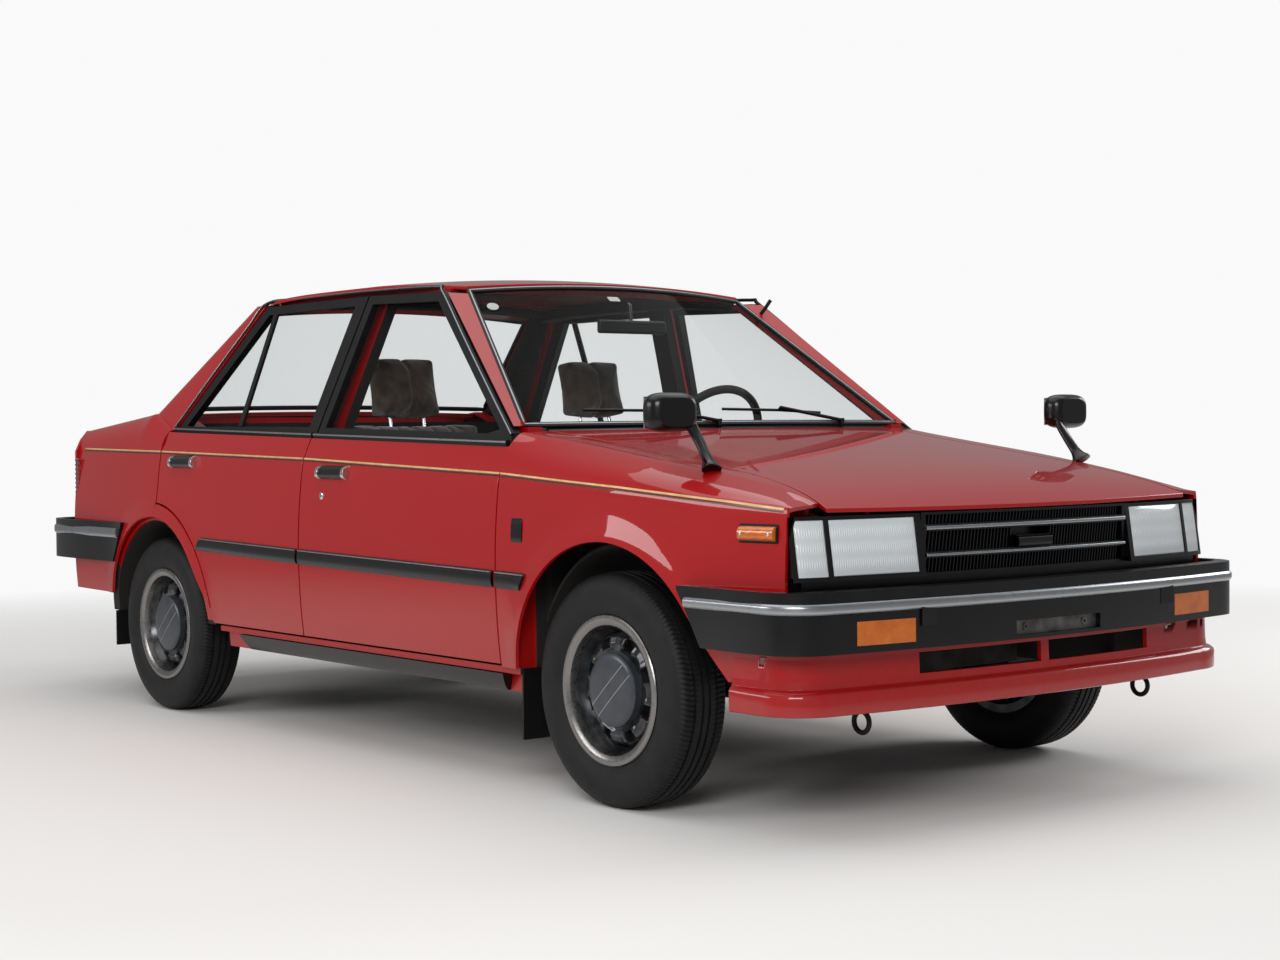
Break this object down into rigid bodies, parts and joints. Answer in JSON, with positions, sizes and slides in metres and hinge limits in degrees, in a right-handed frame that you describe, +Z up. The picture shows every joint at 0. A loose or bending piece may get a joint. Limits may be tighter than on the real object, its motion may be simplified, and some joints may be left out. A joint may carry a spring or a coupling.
{
  "type": "compact four-door sedan",
  "caption": "Compact four-door sedan with opening doors, hood and trunk lid, steered front wheels and four rolling wheels.",
  "frame": {"origin": "on the ground, at the middle of the overall width and length", "axes": "+X to the car's left, -Y forwards, +Z up"},
  "size_m": [1.6195, 4.04, 1.3719],
  "materials": {
    "body_paint": "gloss red enamel, slightly faded",
    "black_trim": "black plastic",
    "lamp_glass": "clear fluted glass",
    "amber_lens": "amber lens",
    "red_lens": "red ribbed lens",
    "glass": "clear safety glass",
    "steel": "plain steel",
    "dash_plastic": "grained dark plastic",
    "seat_fabric": "brown-grey velour",
    "cast_iron": "cast iron",
    "rubber": "black rubber",
    "tyre": "tyre rubber",
    "rim_paint": "dark grey enamel"
  },
  "bodies": {
    "root": {"body_frame": "body_paint", "roof_panel": "body_paint", "front_fenders": "body_paint", "quarter_panels": "body_paint", "cowl_panel": "black_trim", "rear_panel": "body_paint", "front_valance": "body_paint", "grille": "black_trim", "headlamps": "lamp_glass", "front_indicators": "amber_lens", "front_bumper": "black_trim", "plate_bracket": "steel", "rear_bumper": "black_trim", "tail_lamps": "red_lens", "windscreen": "glass", "rear_window": "glass", "dashboard": "dash_plastic", "front_seats": "seat_fabric", "seat_frames": "steel", "rear_seat": "seat_fabric", "wipers": "black_trim", "fender_mirrors": "black_trim", "interior_mirror": "black_trim", "engine_block": "cast_iron", "exhaust": "steel", "fuel_tank": "steel", "front_suspension": "steel", "rear_axle": "steel", "mud_flaps": "rubber", "tow_hooks": "steel"},
    "front_left_door": {"front_door_left": "body_paint", "front_door_glass_left": "glass"},
    "rear_left_door": {"rear_door_left": "body_paint", "rear_door_glass_left": "glass"},
    "left_knuckle": {"knuckle_left": "steel"},
    "front_left_wheel": {"front_tyre_left": "tyre", "front_rim_left": "rim_paint"},
    "rear_left_wheel": {"rear_tyre_left": "tyre", "rear_rim_left": "rim_paint"},
    "front_right_door": {"front_door_right": "body_paint", "front_door_glass_right": "glass"},
    "rear_right_door": {"rear_door_right": "body_paint", "rear_door_glass_right": "glass"},
    "right_knuckle": {"knuckle_right": "steel"},
    "front_right_wheel": {"front_tyre_right": "tyre", "front_rim_right": "rim_paint"},
    "rear_right_wheel": {"rear_tyre_right": "tyre", "rear_rim_right": "rim_paint"},
    "hood": {"hood": "body_paint"},
    "trunk_lid": {"trunk_lid": "body_paint"},
    "steering_wheel": {"steering_wheel": "dash_plastic"}
  },
  "joints": [
    {"name": "front_left_door_hinge", "type": "hinge", "parent": "root", "child": "front_left_door", "pos_m": [0.797, -0.842, 0.6], "axis": [0, 0, -1], "range_deg": [0, 65]},
    {"name": "rear_left_door_hinge", "type": "hinge", "parent": "root", "child": "rear_left_door", "pos_m": [0.797, 0.166, 0.6], "axis": [0, 0, -1], "range_deg": [0, 65]},
    {"name": "front_right_door_hinge", "type": "hinge", "parent": "root", "child": "front_right_door", "pos_m": [-0.797, -0.842, 0.6], "axis": [0, 0, 1], "range_deg": [0, 65]},
    {"name": "rear_right_door_hinge", "type": "hinge", "parent": "root", "child": "rear_right_door", "pos_m": [-0.797, 0.166, 0.6], "axis": [0, 0, 1], "range_deg": [0, 65]},
    {"name": "front_right_steer", "type": "hinge", "parent": "root", "child": "right_knuckle", "pos_m": [-0.6196, -1.27, 0.285], "axis": [0.1908, 0, 0.9816], "range_deg": [-34, 34]},
    {"name": "front_right_wheel_spin", "type": "hinge", "parent": "right_knuckle", "child": "front_right_wheel", "pos_m": [-0.6975, -1.27, 0.285], "axis": [1, 0, 0], "continuous": true},
    {"name": "rear_right_wheel_spin", "type": "hinge", "parent": "root", "child": "rear_right_wheel", "pos_m": [-0.6875, 1.13, 0.285], "axis": [1, 0, 0], "continuous": true},
    {"name": "front_left_steer", "type": "hinge", "parent": "root", "child": "left_knuckle", "pos_m": [0.6196, -1.27, 0.285], "axis": [-0.1908, 0, 0.9816], "range_deg": [-34, 34]},
    {"name": "front_left_wheel_spin", "type": "hinge", "parent": "left_knuckle", "child": "front_left_wheel", "pos_m": [0.6975, -1.27, 0.285], "axis": [1, 0, 0], "continuous": true},
    {"name": "rear_left_wheel_spin", "type": "hinge", "parent": "root", "child": "rear_left_wheel", "pos_m": [0.6875, 1.13, 0.285], "axis": [1, 0, 0], "continuous": true},
    {"name": "hood_hinge", "type": "hinge", "parent": "root", "child": "hood", "pos_m": [0, -0.845, 0.914], "axis": [-1, 0, 0], "range_deg": [0, 50]},
    {"name": "trunk_lid_hinge", "type": "hinge", "parent": "root", "child": "trunk_lid", "pos_m": [0, 1.334, 0.987], "axis": [1, 0, 0], "range_deg": [0, 75]},
    {"name": "steering_wheel_turn", "type": "hinge", "parent": "root", "child": "steering_wheel", "pos_m": [0.36, -0.34, 0.868], "axis": [0, 0.8829, 0.4695], "range_deg": [-612, 612]}
  ],
  "couplings": [
    {"joint": "front_left_steer", "follows": "front_right_steer", "ratio": 1},
    {"joint": "steering_wheel_turn", "follows": "front_right_steer", "ratio": 18}
  ]
}
